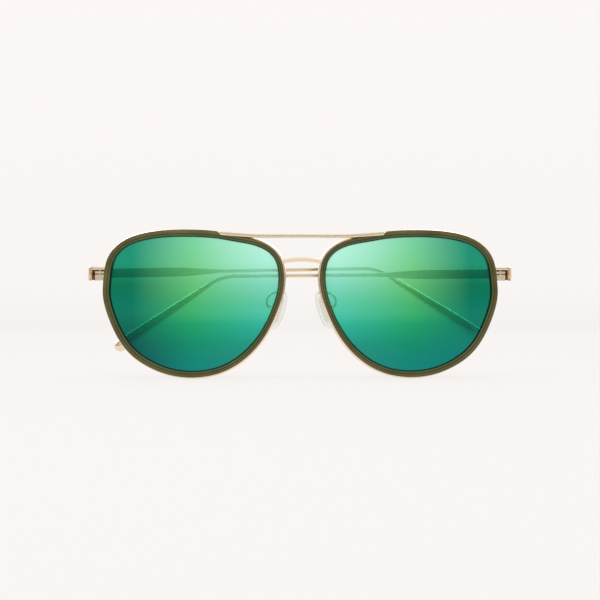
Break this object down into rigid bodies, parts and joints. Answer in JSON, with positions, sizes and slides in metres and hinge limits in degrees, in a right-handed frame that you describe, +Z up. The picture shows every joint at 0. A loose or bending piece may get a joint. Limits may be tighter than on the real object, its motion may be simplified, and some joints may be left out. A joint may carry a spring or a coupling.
{
  "type": "aviator sunglasses",
  "caption": "Aviator sunglasses with mirrored lenses in acetate inner rims, a metal brow bar and pad bridge, rocking nose pads and folding temples.",
  "frame": {"origin": "the nose seat: midway between the two nose pads, at their mid-depth, level with the lens centres", "axes": "+X to the wearer's left, +Y back towards the wearer, so the lenses face -Y, +Z up as worn"},
  "size_m": [0.1484, 0.0242, 0.0512],
  "materials": {
    "champagne_gold": "polished pale gold plating",
    "olive_acetate": "glossy olive acetate",
    "mirror_lens": "green mirror coating",
    "steel": "machined",
    "nylon": "natural nylon",
    "pad_insert": "frosted insert",
    "silicone": "clear silicone"
  },
  "bodies": {
    "front": {"brow_bar": "champagne_gold", "pad_bridge": "champagne_gold", "lens_right": "mirror_lens", "lens_left": "mirror_lens", "acetate_rim_right": "olive_acetate", "acetate_rim_left": "olive_acetate", "eyewire_right": "champagne_gold", "eyewire_left": "champagne_gold", "endpiece_right": "champagne_gold", "endpiece_left": "champagne_gold", "rim_lock_upper_right": "champagne_gold", "rim_lock_upper_left": "champagne_gold", "rim_lock_lower_right": "champagne_gold", "rim_lock_lower_left": "champagne_gold", "rim_lock_screw_right": "steel", "rim_lock_screw_left": "steel", "front_hinge_right": "champagne_gold", "front_hinge_left": "champagne_gold", "hinge_screw_right": "steel", "hinge_screw_left": "steel", "hinge_washers_right": "nylon", "hinge_washers_left": "nylon", "pad_arm_right": "champagne_gold", "pad_arm_left": "champagne_gold", "pad_box_right": "champagne_gold", "pad_box_left": "champagne_gold", "pad_screw_right": "steel", "pad_screw_left": "steel"},
    "temple_right": {"temple_right": "champagne_gold", "temple_hinge_right": "champagne_gold", "temple_tip_right": "champagne_gold"},
    "temple_left": {"temple_left": "champagne_gold", "temple_hinge_left": "champagne_gold", "temple_tip_left": "champagne_gold"},
    "nose_pad_right": {"nose_pad_right": "silicone", "pad_core_right": "pad_insert"},
    "nose_pad_left": {"nose_pad_left": "silicone", "pad_core_left": "pad_insert"}
  },
  "joints": [
    {"name": "temple_right_fold", "type": "hinge", "parent": "front", "child": "temple_right", "pos_m": [-0.0716, 0.0025, 0.0114], "axis": [0, 0, 1], "range_deg": [0, 87.4]},
    {"name": "temple_left_fold", "type": "hinge", "parent": "front", "child": "temple_left", "pos_m": [0.0716, 0.0025, 0.0114], "axis": [0, 0, -1], "range_deg": [0, 90]},
    {"name": "nose_pad_right_rock", "type": "hinge", "parent": "front", "child": "nose_pad_right", "pos_m": [-0.01014, -0.0011, -0.00067], "axis": [-0.4019, 0.9063, 0.1306], "range_deg": [-8, 8]},
    {"name": "nose_pad_left_rock", "type": "hinge", "parent": "front", "child": "nose_pad_left", "pos_m": [0.01014, -0.0011, -0.00067], "axis": [0.4019, 0.9063, 0.1306], "range_deg": [-8, 8]}
  ]
}
